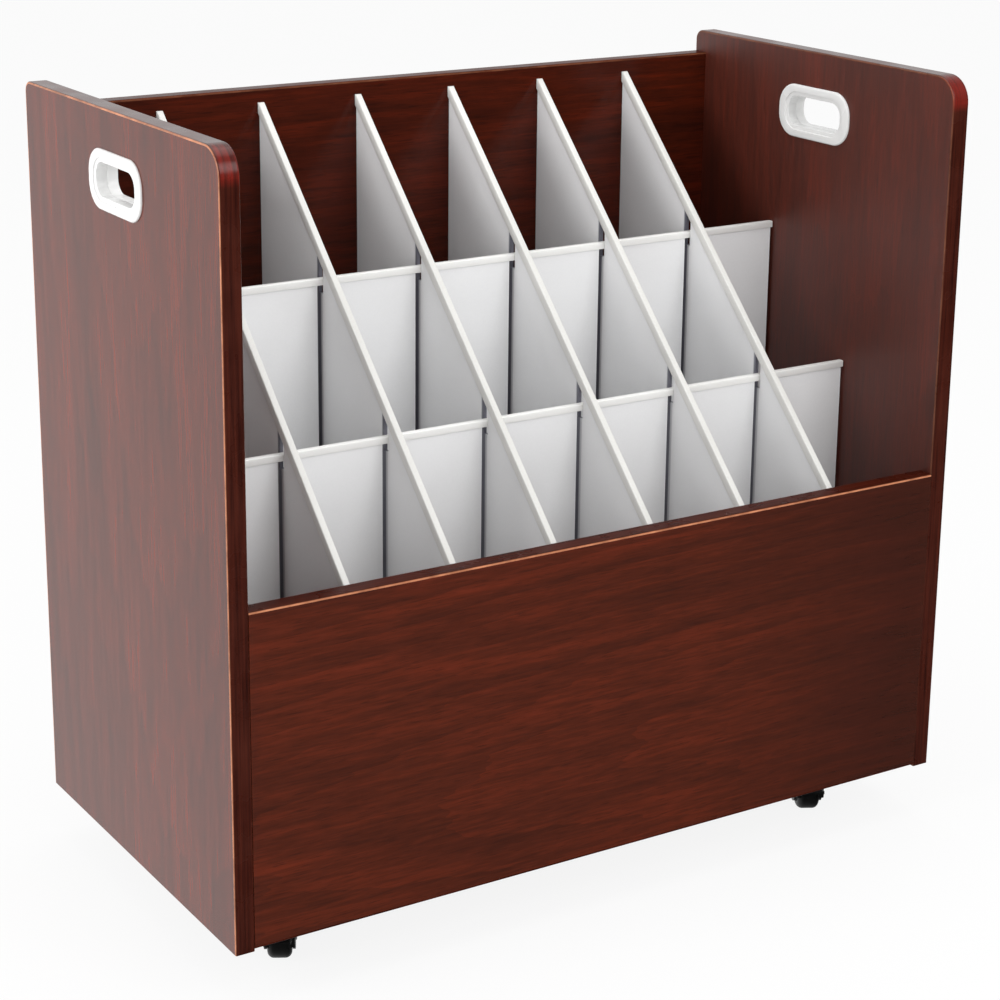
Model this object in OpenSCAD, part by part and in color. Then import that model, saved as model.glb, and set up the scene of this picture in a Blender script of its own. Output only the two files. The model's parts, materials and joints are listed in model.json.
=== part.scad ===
// Open-topped roll file on four swivel casters, with a grid of dividers that slopes up to the back.
// Millimetres. The front faces -Y, up is +Z, and the origin is on the floor under the cabinet's middle.

/* [Cabinet] */
// Width over the two side panels
cabinet_width = 768; // [700:1:840]
// Depth from the front edges to the back
cabinet_depth = 400; // [370:1:430]
// Height of the side panels' top above the floor
cabinet_height = 743; // [700:1:790]
// Thickness of the cabinet boards
board = 18; // [17:0.5:20]
// Height of the front panel's top above the floor
front_top = 360; // [320:1:400]
// How far the back panel's top is below the side panels' top
back_inset = 22; // [16:1:40]
// How far the side panels reach below the other boards
side_drop = 2; // [1:0.5:4]
// Radius of the side panels' front top corner
front_radius = 25; // [15:1:35]
// Radius of the side panels' rear top corner
rear_radius = 10; // [6:1:20]
// Thickness of the edge bands
band = 2; // [1.5:0.1:3]
// Rounding of the edge bands' two long edges
band_round = 1.4; // [0.8:0.1:1.5]

/* [Dividers] */
// Thickness of the divider boards
divider = 3.2; // [2.6:0.1:4]
// How far the sloping edges end below the front panel's top
front_hide = 10; // [4:1:20]
// How far the sloping edges end below the back panel's top
rear_hide = 11; // [4:1:20]
// How much of the sloping caps' rear tips is cut off level
tip_cut = 2; // [1:0.5:6]
// How far the cross boards' caps are below the sloping edges
cross_drop = 27.5; // [24:0.5:34]
// Wall of the cap strips
cap_wall = 1.5; // [1:0.1:2]
// Depth of the sloping cap strips' lips, from the strip's top
cap_lip = 8.5; // [6:0.5:10]
// Depth of the cross cap strips' lips, from the strip's top
cross_lip = 6.5; // [5:0.5:9]
// Gap between a cap strip's lips and its board
cap_fit = 0.15; // [0.1:0.05:0.3]
// Gap on each side of a cross cap where it passes through a long divider
notch_play = 0.45; // [0.3:0.05:0.8]
// Open slit below a cross cap in a long divider
notch_slit = 8; // [5:0.5:10]
// Gap on each side of a board in its slot
slot_play = 0.25; // [0.2:0.05:0.5]
// Wide side of the cross boards' slots, to the left of each long divider
slot_gap = 5; // [3:0.5:7]
// Gap between a long divider and the front and back panels
divider_play = 0.3; // [0.2:0.1:1]
// Gap between a cross board's end and the side panel
cross_gap = 2.5; // [1.5:0.5:4]
// Gap between a cross cap's end and the side panel
cross_cap_gap = 1; // [0.5:0.1:1.5]

/* [Hand holes] */
// Length of the hand hole's collar
grip_length = 108; // [102:1:116]
// Height of the collar
grip_height = 53; // [50:1:60]
// Corner radius of the collar
grip_radius = 23; // [18:1:24]
// Length of the opening
hole_length = 80; // [72:1:84]
// Height of the opening
hole_height = 30; // [28:1:32]
// Corner radius of the opening
hole_radius = 13; // [10:0.5:13]
// Wall of the sleeve through the panel
sleeve_wall = 2; // [1.5:0.1:2.5]
// Gap between the sleeve and the panel
sleeve_fit = 0.3; // [0.2:0.1:0.5]
// How far the collar stands off the panel
collar_rise = 2.5; // [2:0.1:3.5]
// Width of the ledge round the opening
ledge_width = 4; // [3:0.5:6]
// How far the ledge is sunk into the collar
ledge_depth = 1.3; // [0.8:0.1:1.8]
// Distance from the side panel's top to the middle of the hand hole
grip_drop = 62; // [56:1:80]

/* [Fittings] */
// Radius of the cam discs
cam_radius = 7.5; // [7:0.1:8]
// Depth of the cam pockets
cam_depth = 12.5; // [12:0.1:13]
// Distance from a board's end to the middle of its cams
cam_back = 24; // [22:0.5:34]
// Distance of the panels' lowest and highest cams from the shelf and the panels' tops
cam_inset = 45; // [40:1:60]
// Distance of the shelf's cams from the front and back panels
shelf_cam_inset = 72; // [64:1:90]
// Radius of the connecting bolts
bolt_radius = 3; // [2.5:0.1:3.3]
// Reach of the bolts into the side panels
bolt_reach = 11; // [9:0.5:13]
// Radius of the wooden dowels
dowel_radius = 4; // [3:0.1:4]
// Reach of a dowel into a board's end
dowel_in_end = 18; // [15:1:24]
// Reach of a dowel into a board's face
dowel_in_face = 11; // [9:0.5:13]
// Distance from a cam to the dowel beside it
dowel_step = 32; // [24:1:36]
// Gap round cams, bolts, dowels and screws
fitting_gap = 0.1; // [0.05:0.05:0.2]

/* [Casters] */
// Floor to the top of the caster plates
caster_height = 56; // [54:0.5:60]
// Radius of the wheels
wheel_radius = 20; // [18:0.5:20]
// Width of the wheels
wheel_width = 22; // [20:0.5:24]
// Rounding of the treads
tread_round = 6; // [4:0.5:7]
// Distance of the wheel's axle behind the swivel
trail = 18; // [16:0.5:20]
// Radius of the axles
axle_radius = 3; // [2.5:0.1:3.5]
// Radius of the swivel pins
pin_radius = 4; // [3.5:0.1:5]
// Running gap of the axles and pins
running_gap = 0.05; // [0.02:0.01:0.1]
// Gap between a moving piece and its neighbours
free_gap = 0.6; // [0.4:0.1:1]
// Wall of the hoods
hood_wall = 2.4; // [2:0.1:3]
// Gap between the tread and the hood
tread_gap = 1.2; // [0.8:0.1:2]
// Side of the square caster plates
plate_side = 42; // [40:1:46]
// Thickness of the caster plates
plate_thickness = 2.5; // [2:0.1:3]
// Distance from the cabinet's sides to the swivels
swivel_from_side = 86; // [80:1:110]
// Distance from the cabinet's front and back to the swivels
swivel_from_front = 87; // [80:1:100]
// Direction that the casters roll in, from +X towards +Y
caster_angle = 61; // [0:1:180]
// Travel of the brake levers in degrees
brake_travel = 20; // [12:1:20]

/* [Hidden] */
$fn = 64;
columns = 7;
rows = 3;
half_width = cabinet_width / 2;
half_depth = cabinet_depth / 2;
inner_x = half_width - board;
inner_y = half_depth - board;
side_bottom = caster_height - side_drop;
floor_top = caster_height + board;
back_top = cabinet_height - back_inset;
column_pitch = 2 * inner_x / columns;
row_pitch = 2 * inner_y / rows;

// The sloping edge, from the front panel up to the back panel.
divider_end = inner_y - divider_play;
edge_front = front_top - front_hide;
edge_rear = back_top - rear_hide;
slope = (edge_rear - edge_front) / (2 * divider_end);
steepness = sqrt(1 + slope * slope);
tip_z = edge_rear - tip_cut;
cap_width = divider + 2 * cap_fit + 2 * cap_wall;
wall_rise = cap_wall * steepness;
lip_rise = cap_lip * steepness;
function edge_z(y) = edge_front + slope * (y + divider_end);
function edge_y(z) = (z - edge_front) / slope - divider_end;
function long_x(i) = -inner_x + i * column_pitch;
function row_y(j) = -inner_y + j * row_pitch;
function cross_z(j) = edge_z(row_y(j)) - cross_drop;
function half_lap_z(j) = (floor_top + cross_z(j)) / 2;

grip_z = cabinet_height - grip_drop;
sleeve_length = hole_length + 2 * sleeve_wall;
sleeve_height = hole_height + 2 * sleeve_wall;
sleeve_radius = hole_radius + sleeve_wall;

// Middle planes of the boards, and the places of their fittings as [y, z, y step, z step].
shelf_z = caster_height + board / 2;
panel_y = half_depth - board / 2;
cam_low = floor_top + cam_inset;
front_cam_high = front_top - cam_inset;
back_cam_high = back_top - cam_inset;
shelf_cam_y = inner_y - shelf_cam_inset;
shelf_spots = [[-shelf_cam_y, shelf_z, 1, 0], [shelf_cam_y, shelf_z, -1, 0]];
front_spots = [[-panel_y, cam_low, 0, 1], [-panel_y, front_cam_high, 0, -1]];
back_spots = [[panel_y, cam_low, 0, 1], [panel_y, (cam_low + back_cam_high) / 2, 0, 1], [panel_y, back_cam_high, 0, -1]];
all_spots = concat(shelf_spots, front_spots, back_spots);
shelf_dowels = [-3, -1, 1, 3];
shelf_dowel_pitch = inner_x / 4.5;

// Caster sizes from the floor up, on the swivel's own axis with the rolling direction along +X.
swivel_x = half_width - swivel_from_side;
swivel_y = half_depth - swivel_from_front;
plate_bottom = caster_height - plate_thickness;
race_bottom = plate_bottom - 2.5;
collar_top = race_bottom - 0.3;
pin_bottom = wheel_radius * 2 + tread_gap + 1.1;
hood_radius = wheel_radius + tread_gap + hood_wall;
hood_inside = wheel_width + 2 * free_gap;
hood_width = hood_inside + 2 * hood_wall;
cheek_radius = wheel_radius * 0.62;
groove_outer = wheel_radius - tread_round - 1.2;
groove_width = 5;
collar_radius = 11;
screw_step = plate_side / 2 - 6;
screw_radius = 1.9;
screw_length = 12;
head_radius = 3.6;
head_height = 2;

// The brake lever turns on stubs behind the hood. Its toe swings into line with the axle at full travel.
lever_angle = 158;
lever_radius = 2.3;
lever_pivot = hood_radius + lever_radius + 1;
lever_x = -trail + lever_pivot * cos(lever_angle);
lever_z = wheel_radius + lever_pivot * sin(lever_angle);
toe_length = lever_pivot - wheel_radius - 0.5;
ear_inner = 9.2;
ear_outer = 11.7;

// A flat rounded rectangle, centred.
module round_rect(length, height, radius) {
  square([length - 2 * radius, height], center = true);
  square([length, height - 2 * radius], center = true);
  for (x = [-1, 1], y = [-1, 1])
    translate([x * (length / 2 - radius), y * (height / 2 - radius)])
      circle(radius);
}

// A rod along X from one x to another.
module rod_x(radius, from, to) {
  translate([from, 0, 0])
    rotate([0, 90, 0])
      cylinder(r = radius, h = to - from);
}

// A rod along Y, centred.
module rod_y(radius, length) {
  rotate([90, 0, 0])
    cylinder(r = radius, h = length, center = true);
}

// A flat shape in Y and Z, given thickness along X about an x.
module upright(x, thickness) {
  translate([x - thickness / 2, 0, 0])
    rotate([90, 0, 90])
      linear_extrude(thickness)
        children();
}

// Cross-section of an edge band: it grows along +X from the board, and its width is along Y.
module band_section() {
  difference() {
    translate([0, -board / 2])
      square([band, board]);
    for (side = [0, 1])
      mirror([0, side])
        translate([band - band_round, board / 2 - band_round])
          difference() {
            square(band_round);
            circle(band_round);
          }
  }
}

// Outline of a side board inside its edge bands.
module side_outline() {
  front = front_radius - band;
  rear = rear_radius - band;
  difference() {
    translate([-half_depth + band, side_bottom])
      square([cabinet_depth - 2 * band, cabinet_height - band - side_bottom]);
    translate([-half_depth + front_radius, cabinet_height - front_radius])
      difference() {
        translate([-front_radius, 0])
          square(front_radius);
        circle(front);
      }
    translate([half_depth - rear_radius, cabinet_height - rear_radius])
      difference() {
        square(rear_radius);
        circle(rear);
      }
  }
}

// Blind bores for the bolts and dowels in a side panel's inner face.
module side_bores(side) {
  for (spot = all_spots) {
    translate([side * (inner_x + bolt_reach / 2), spot[0], spot[1]])
      rod_x(bolt_radius + fitting_gap, -bolt_reach / 2 - 0.5, bolt_reach / 2 + 0.5);
    translate([side * inner_x, spot[0] + spot[2] * dowel_step, spot[1] + spot[3] * dowel_step])
      rod_x(dowel_radius + fitting_gap, -dowel_in_face - 0.5, dowel_in_face + 0.5);
  }
}

// Bores in a board's two ends. The cam pockets open towards +Z of the turned frame.
module end_bores(spots, turn) {
  for (side = [-1, 1], spot = spots) {
    translate([side * (inner_x - cam_back), spot[0], spot[1]])
      rotate(turn)
        translate([0, 0, board / 2 - cam_depth])
          cylinder(r = cam_radius + fitting_gap, h = cam_depth + 1);
    translate([side * (inner_x - cam_back / 2), spot[0], spot[1]])
      rod_x(bolt_radius + fitting_gap, -cam_back / 2 - 1, cam_back / 2 + 1);
    translate([side * inner_x, spot[0] + spot[2] * dowel_step, spot[1] + spot[3] * dowel_step])
      rod_x(dowel_radius + fitting_gap, -dowel_in_end - 0.5, dowel_in_end + 0.5);
  }
}

// Bores of the dowels between the shelf and the front and back panels.
module shelf_edge_bores() {
  for (side = [-1, 1], step = shelf_dowels)
    translate([step * shelf_dowel_pitch, side * (inner_y + (dowel_in_face - dowel_in_end) / 2), shelf_z])
      rod_y(dowel_radius + fitting_gap, dowel_in_end + dowel_in_face + 1);
}

module side_panel(side) {
  middle = side * (half_width - board / 2);
  difference() {
    upright(middle, board)
      side_outline();
    upright(middle, board + 2)
      translate([0, grip_z])
        round_rect(sleeve_length + 2 * sleeve_fit, sleeve_height + 2 * sleeve_fit, sleeve_radius + sleeve_fit);
    side_bores(side);
  }
}

// The band runs up the front edge, over the top and down the rear edge.
module side_band(side) {
  translate([side * (half_width - board / 2), 0, 0]) {
    translate([0, -half_depth + band, side_bottom])
      rotate([0, 0, -90])
        linear_extrude(cabinet_height - front_radius - side_bottom)
          band_section();
    translate([0, half_depth - band, side_bottom])
      rotate([0, 0, 90])
        linear_extrude(cabinet_height - rear_radius - side_bottom)
          band_section();
    translate([0, -half_depth + front_radius, cabinet_height - band])
      rotate([-90, 0, 0])
        rotate([0, 0, -90])
          linear_extrude(cabinet_depth - front_radius - rear_radius)
            band_section();
    translate([0, -half_depth + front_radius, cabinet_height - front_radius])
      rotate([0, 90, 0])
        rotate([0, 0, 180])
          rotate_extrude(angle = 90)
            translate([front_radius - band, 0])
              band_section();
    translate([0, half_depth - rear_radius, cabinet_height - rear_radius])
      rotate([0, 90, 0])
        rotate([0, 0, 90])
          rotate_extrude(angle = 90)
            translate([rear_radius - band, 0])
              band_section();
  }
}

// A straight band between the side panels, facing up or down.
module cross_band(y, z, up) {
  translate([up * inner_x, y, z])
    rotate([0, -up * 90, 0])
      linear_extrude(2 * inner_x)
        band_section();
}

module front_panel() {
  difference() {
    translate([-inner_x, -half_depth, caster_height + band])
      cube([2 * inner_x, board, front_top - caster_height - 2 * band]);
    end_bores(front_spots, [-90, 0, 0]);
    shelf_edge_bores();
  }
}

module back_panel() {
  difference() {
    translate([-inner_x, inner_y, caster_height])
      cube([2 * inner_x, board, back_top - band - caster_height]);
    end_bores(back_spots, [-90, 0, 0]);
    shelf_edge_bores();
  }
}

module bottom_shelf() {
  difference() {
    translate([-inner_x, -inner_y, caster_height])
      cube([2 * inner_x, 2 * inner_y, board]);
    end_bores(shelf_spots, [180, 0, 0]);
    shelf_edge_bores();
    each_screw()
      translate([0, 0, caster_height - 1])
        cylinder(r = screw_radius + fitting_gap, h = screw_length + 1.5);
  }
}

// Face of a long divider up to the underside of its cap, from one y to the other.
module divider_outline(end) {
  roof = tip_z - cap_wall;
  polygon([
    [-end, floor_top],
    [end, floor_top],
    [end, roof],
    [edge_y(roof + wall_rise), roof],
    [-end, edge_z(-end) - wall_rise],
  ]);
}

// Face of a sloping cap, from its top down to its lips' edge.
module cap_outline() {
  polygon([
    [-divider_end, edge_front - lip_rise],
    [divider_end, edge_rear - lip_rise],
    [divider_end, tip_z],
    [edge_y(tip_z), tip_z],
    [-divider_end, edge_front],
  ]);
}

// A long divider is slotted from below for the cross boards, and notched from above for their caps.
module long_divider(i) {
  difference() {
    upright(long_x(i), divider)
      divider_outline(divider_end);
    for (j = [1 : rows - 1]) {
      notch_bottom = cross_z(j) - cross_lip - notch_slit;
      notch_width = cap_width + 2 * notch_play;
      slot_width = divider + 2 * slot_play;
      translate([long_x(i) - divider, row_y(j) - notch_width / 2, notch_bottom])
        cube([2 * divider, notch_width, cabinet_height]);
      translate([long_x(i) - divider, row_y(j) - slot_width / 2, floor_top - 1])
        cube([2 * divider, slot_width, half_lap_z(j) + slot_play - floor_top + 1]);
    }
  }
}

module long_cap(i) {
  difference() {
    upright(long_x(i), cap_width)
      cap_outline();
    upright(long_x(i), divider + 2 * cap_fit)
      divider_outline(divider_end + 1);
  }
}

// A cross board is slotted from above for the long dividers.
module cross_divider(j) {
  length = 2 * (inner_x - cross_gap);
  difference() {
    translate([-length / 2, row_y(j) - divider / 2, floor_top])
      cube([length, divider, cross_z(j) - cap_wall - floor_top]);
    for (i = [1 : columns - 1])
      translate([long_x(i) - divider / 2 - slot_gap, row_y(j) - divider, half_lap_z(j)])
        cube([slot_gap + divider + slot_play, 2 * divider, cabinet_height]);
  }
}

module cross_cap(j) {
  length = 2 * (inner_x - cross_cap_gap);
  difference() {
    translate([-length / 2, row_y(j) - cap_width / 2, cross_z(j) - cross_lip])
      cube([length, cap_width, cross_lip]);
    translate([-length / 2 - 1, row_y(j) - divider / 2 - cap_fit, cross_z(j) - cross_lip - 1])
      cube([length + 2, divider + 2 * cap_fit, cross_lip + 1 - cap_wall]);
  }
}

// Section of a collar from its corner's axis out to its rounded rim.
module collar_section() {
  edge = collar_rise - 0.5;
  difference() {
    square([grip_radius, collar_rise]);
    translate([grip_radius - edge, collar_rise - edge])
      difference() {
        square(edge);
        circle(edge);
      }
  }
}

// A collar's plate before its opening is cut: four corners, four sides and the middle.
module collar_plate() {
  dx = grip_length / 2 - grip_radius;
  dy = grip_height / 2 - grip_radius;
  for (corner = [[1, 1, 0], [-1, 1, 90], [-1, -1, 180], [1, -1, 270]])
    translate([corner[0] * dx, corner[1] * dy, 0])
      rotate([0, 0, corner[2]])
        rotate_extrude(angle = 90)
          collar_section();
  for (turn = [0, 180])
    rotate([0, 0, turn])
      translate([dx, 0, 0])
        rotate([90, 0, 0])
          linear_extrude(2 * dy, center = true)
            collar_section();
  for (turn = [90, 270])
    rotate([0, 0, turn])
      translate([dy, 0, 0])
        rotate([90, 0, 0])
          linear_extrude(2 * dx, center = true)
            collar_section();
  translate([-dx, -dy, 0])
    cube([2 * dx, 2 * dy, collar_rise]);
}

// A collar with half of the sleeve. It stands on the plane z = 0, and the sleeve goes down.
module grip() {
  difference() {
    union() {
      collar_plate();
      translate([0, 0, -board / 2])
        linear_extrude(board / 2 + 0.5)
          round_rect(sleeve_length, sleeve_height, sleeve_radius);
    }
    translate([0, 0, -board / 2 - 1])
      linear_extrude(board + 2)
        round_rect(hole_length, hole_height, hole_radius);
    translate([0, 0, collar_rise - ledge_depth])
      linear_extrude(board)
        round_rect(hole_length + 2 * ledge_width, hole_height + 2 * ledge_width, hole_radius + ledge_width);
  }
}

// A grip on a panel's face: outwards is +1 or -1 along X.
module placed_grip(x, outwards) {
  translate([x, 0, grip_z])
    rotate([0, outwards * 90, 0])
      rotate([0, 0, 90])
        grip();
}

// A cam disc with its mouth at the board's face. The bolt comes in along +X.
module cam_lock() {
  cam_bottom = board / 2 - cam_depth + 0.3;
  difference() {
    translate([0, 0, cam_bottom])
      cylinder(r = cam_radius, h = board / 2 - 0.3 - cam_bottom);
    rotate([0, 90, 0])
      cylinder(r = bolt_radius + 0.5, h = cam_radius + 1);
    sphere(bolt_radius + 0.5);
    for (turn = [0, 90])
      rotate([0, 0, turn])
        translate([-3.5, -0.7, board / 2 - 2.2])
          cube([7, 1.4, 4]);
  }
}

module cam_locks() {
  for (side = [-1, 1], spot = all_spots)
    translate([side * (inner_x - cam_back), spot[0], spot[1]])
      rotate(spot[2] != 0 ? [180, 0, 0] : [-90, 0, 0])
        rotate([0, 0, side > 0 ? 0 : 180])
          cam_lock();
}

// A bolt with a head, a thin neck and a thread. Its head is in the cam.
module cam_bolt() {
  rod_x(bolt_radius, 0.5, 3);
  rod_x(bolt_radius * 0.6, 3, 7.5);
  rod_x(bolt_radius, 7.5, cam_back + bolt_reach);
}

module cam_bolts() {
  for (side = [-1, 1], spot = all_spots)
    translate([side * (inner_x - cam_back), spot[0], spot[1]])
      rotate([0, 0, side > 0 ? 0 : 180])
        cam_bolt();
}

module dowels() {
  for (side = [-1, 1], spot = all_spots)
    translate([side * inner_x, spot[0] + spot[2] * dowel_step, spot[1] + spot[3] * dowel_step])
      rotate([0, 0, side > 0 ? 0 : 180])
        rod_x(dowel_radius, -dowel_in_end, dowel_in_face);
  for (side = [-1, 1], step = shelf_dowels)
    translate([step * shelf_dowel_pitch, side * (inner_y + (dowel_in_face - dowel_in_end) / 2), shelf_z])
      rod_y(dowel_radius, dowel_in_end + dowel_in_face);
}

// Puts a piece on the swivel axis of one caster, turned to the rolling direction.
module at_caster(x, y) {
  translate([x * swivel_x, y * swivel_y, 0])
    rotate([0, 0, caster_angle])
      children();
}

// Puts a piece at every plate screw.
module each_screw() {
  for (x = [-1, 1], y = [-1, 1], dx = [-1, 1], dy = [-1, 1])
    translate([x * swivel_x + dx * screw_step, y * swivel_y + dy * screw_step, 0])
      children();
}

module caster_screws() {
  each_screw() {
    difference() {
      translate([0, 0, plate_bottom - head_height])
        cylinder(r1 = head_radius - 0.8, r2 = head_radius, h = head_height);
      for (turn = [0, 90])
        rotate([0, 0, turn])
          translate([-2, -0.4, plate_bottom - head_height - 1])
            cube([4, 0.8, 2]);
    }
    translate([0, 0, plate_bottom])
      cylinder(r = screw_radius, h = plate_thickness + screw_length);
  }
}

// The plate stays square to the cabinet and carries the race and the swivel pin.
module caster_plate(x, y) {
  translate([x * swivel_x, y * swivel_y, 0]) {
    difference() {
      translate([0, 0, plate_bottom])
        linear_extrude(plate_thickness)
          round_rect(plate_side, plate_side, 5);
      for (dx = [-1, 1], dy = [-1, 1])
        translate([dx * screw_step, dy * screw_step, plate_bottom - 1])
          cylinder(r = screw_radius + fitting_gap, h = plate_thickness + 2);
    }
    translate([0, 0, race_bottom])
      cylinder(r1 = collar_radius - 1, r2 = collar_radius + 1, h = plate_bottom - race_bottom);
    translate([0, 0, pin_bottom + 0.3])
      cylinder(r = pin_radius, h = plate_bottom - pin_bottom - 0.3);
  }
}

// Half section of the hood's rounded drum, with its radius along X.
module hood_section() {
  edge = 2.5;
  half = hood_width / 2;
  translate([0, -half])
    square([hood_radius - edge, hood_width]);
  translate([0, -half + edge])
    square([hood_radius, hood_width - 2 * edge]);
  for (side = [-1, 1])
    translate([hood_radius - edge, side * (half - edge)])
      circle(edge);
}

// The hood covers the wheel's upper half, and its cheeks reach down past the axle.
module caster_hood(brake) {
  difference() {
    union() {
      translate([-trail, 0, wheel_radius])
        rotate([90, 0, 0])
          rotate_extrude(angle = 180)
            hood_section();
      translate([-trail, 0, wheel_radius])
        rod_y(cheek_radius, hood_width);
      translate([0, 0, wheel_radius + 6])
        cylinder(r = collar_radius, h = collar_top - wheel_radius - 6);
      if (brake)
        lever_ears();
    }
    translate([-trail, 0, wheel_radius])
      rod_y(wheel_radius + tread_gap, hood_inside);
    translate([-trail, 0, wheel_radius])
      rod_y(axle_radius + running_gap, hood_width + 2);
    translate([0, 0, pin_bottom])
      cylinder(r = pin_radius + running_gap, h = collar_top - pin_bottom + 1);
    if (brake)
      lever_window();
  }
}

// Two ears behind the hood hold the lever's stubs.
module lever_ears() {
  for (side = [-1, 1])
    translate([0, side * (ear_inner + ear_outer) / 2, 0])
      difference() {
        union() {
          translate([lever_x, 0, lever_z])
            rod_y(lever_radius + 0.5, ear_outer - ear_inner);
          translate([-trail, 0, wheel_radius])
            rotate([0, -lever_angle, 0])
              translate([hood_radius - 1.5, -(ear_outer - ear_inner) / 2, -lever_radius - 0.5])
                cube([lever_pivot - hood_radius + 1.5, ear_outer - ear_inner, 2 * lever_radius + 1]);
        }
        translate([lever_x, 0, lever_z])
          rod_y(lever_radius / 2 + running_gap, 10);
      }
}

// The lever's toe reaches the tread through this window.
module lever_window() {
  translate([-trail - hood_radius - 1, -8.5, wheel_radius - 1])
    cube([hood_wall + tread_gap + 3, 17, 16]);
}

// The pedal points back and slightly up, and the toe points at the tread.
module brake_lever() {
  translate([lever_x, 0, lever_z]) {
    rod_y(lever_radius, 2 * ear_inner - 0.6);
    rod_y(lever_radius / 2, 2 * ear_outer - 0.4);
    rotate([0, 12, 0])
      translate([-8, -8, -1.5])
        cube([8, 16, 3]);
    rotate([0, 12, 0])
      translate([-15, -11, -1.5])
        cube([10.5, 22, 3]);
    rotate([0, 12, 0])
      translate([-15, 0, 0])
        rod_y(1.5, 22);
    rotate([0, -(lever_angle - 180 - brake_travel), 0])
      translate([0, -4.5, -1.2])
        cube([toe_length, 9, 2.4]);
  }
}

// The axle's two heads lie on the cheeks.
module caster_axle() {
  translate([-trail, 0, wheel_radius]) {
    rod_y(axle_radius, hood_width);
    for (side = [-1, 1])
      translate([0, side * (hood_width / 2 + 0.6), 0])
        rod_y(axle_radius + 1.8, 1.2);
  }
}

// Half section of the wheel, with its radius along X.
module wheel_section() {
  half = wheel_width / 2;
  bore = axle_radius + running_gap;
  difference() {
    union() {
      translate([bore, -half])
        square([wheel_radius - tread_round - bore, wheel_width]);
      translate([bore, -half + tread_round])
        square([wheel_radius - bore, wheel_width - 2 * tread_round]);
      for (side = [-1, 1])
        translate([wheel_radius - tread_round, side * (half - tread_round)])
          circle(tread_round);
    }
    for (side = [-1, 1])
      translate([groove_outer - groove_width, side * half - 1.5])
        square([groove_width, 3]);
  }
}

module caster_wheel() {
  translate([-trail, 0, wheel_radius])
    rotate([90, 0, 0])
      rotate_extrude()
        wheel_section();
}

module left_side_panel() { color("#4a1a12") side_panel(-1); }
module right_side_panel() { color("#4a1a12") side_panel(1); }
module left_edge_band() { color("#5c2417") side_band(-1); }
module right_edge_band() { color("#5c2417") side_band(1); }
module front_board() { color("#4a1a12") front_panel(); }
module front_panel_band() {
  color("#5c2417") {
    cross_band(-panel_y, front_top - band, 1);
    cross_band(-panel_y, caster_height + band, -1);
  }
}
module back_board() { color("#4a1a12") back_panel(); }
module back_panel_band() { color("#5c2417") cross_band(panel_y, back_top - band, 1); }
module shelf_board() { color("#4a1a12") bottom_shelf(); }
module divider_board(i) { color("#d9d8d3") long_divider(i); }
module divider_strip(i) { color("#efece4") long_cap(i); }
module cross_board(j) { color("#d9d8d3") cross_divider(j); }
module cross_strip(j) { color("#efece4") cross_cap(j); }
module grip_part(x, outwards) { color("#f2f2f0") placed_grip(x, outwards); }
module plate_part(x, y) { color("#3c3d3f") caster_plate(x, y); }
module hood_part(x, y) { color("#1b1b1c") at_caster(x, y) caster_hood(y < 0); }
module axle_part(x, y) { color("#a8abad") at_caster(x, y) caster_axle(); }
module wheel_part(x, y) { color("#151516") at_caster(x, y) caster_wheel(); }
module lever_part(x) { color("#1b1b1c") at_caster(x, -1) brake_lever(); }

left_side_panel();
right_side_panel();
left_edge_band();
right_edge_band();
front_board();  // front_panel
front_panel_band();
back_board();  // back_panel
back_panel_band();
shelf_board();  // bottom_shelf
divider_board(1);  // long_divider_1
divider_board(2);  // long_divider_2
divider_board(3);  // long_divider_3
divider_board(4);  // long_divider_4
divider_board(5);  // long_divider_5
divider_board(6);  // long_divider_6
divider_strip(1);  // long_cap_1
divider_strip(2);  // long_cap_2
divider_strip(3);  // long_cap_3
divider_strip(4);  // long_cap_4
divider_strip(5);  // long_cap_5
divider_strip(6);  // long_cap_6
cross_board(1);  // cross_divider_front
cross_board(2);  // cross_divider_rear
cross_strip(1);  // cross_cap_front
cross_strip(2);  // cross_cap_rear
grip_part(-half_width, -1);  // left_grip_outer
grip_part(-inner_x, 1);  // left_grip_inner
grip_part(half_width, 1);  // right_grip_outer
grip_part(inner_x, -1);  // right_grip_inner
color("#b9b6ad") cam_locks();
color("#a8abad") cam_bolts();
color("#c9a876") dowels();
color("#a8abad") caster_screws();
plate_part(-1, -1);  // caster_plate_front_left
plate_part(1, -1);  // caster_plate_front_right
plate_part(-1, 1);  // caster_plate_rear_left
plate_part(1, 1);  // caster_plate_rear_right
hood_part(-1, -1);  // caster_hood_front_left
hood_part(1, -1);  // caster_hood_front_right
hood_part(-1, 1);  // caster_hood_rear_left
hood_part(1, 1);  // caster_hood_rear_right
axle_part(-1, -1);  // caster_axle_front_left
axle_part(1, -1);  // caster_axle_front_right
axle_part(-1, 1);  // caster_axle_rear_left
axle_part(1, 1);  // caster_axle_rear_right
wheel_part(-1, -1);  // caster_wheel_front_left
wheel_part(1, -1);  // caster_wheel_front_right
wheel_part(-1, 1);  // caster_wheel_rear_left
wheel_part(1, 1);  // caster_wheel_rear_right
lever_part(-1);  // brake_lever_left
lever_part(1);  // brake_lever_right
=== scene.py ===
"""Looks, studio and camera of the open-topped roll file, built on its CAD frame."""

import json
import logging
import math
from contextlib import contextmanager
from dataclasses import dataclass, field
from enum import Enum
from typing import Callable, Iterator

import bmesh
import bpy
from mathutils import Matrix, Vector

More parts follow.
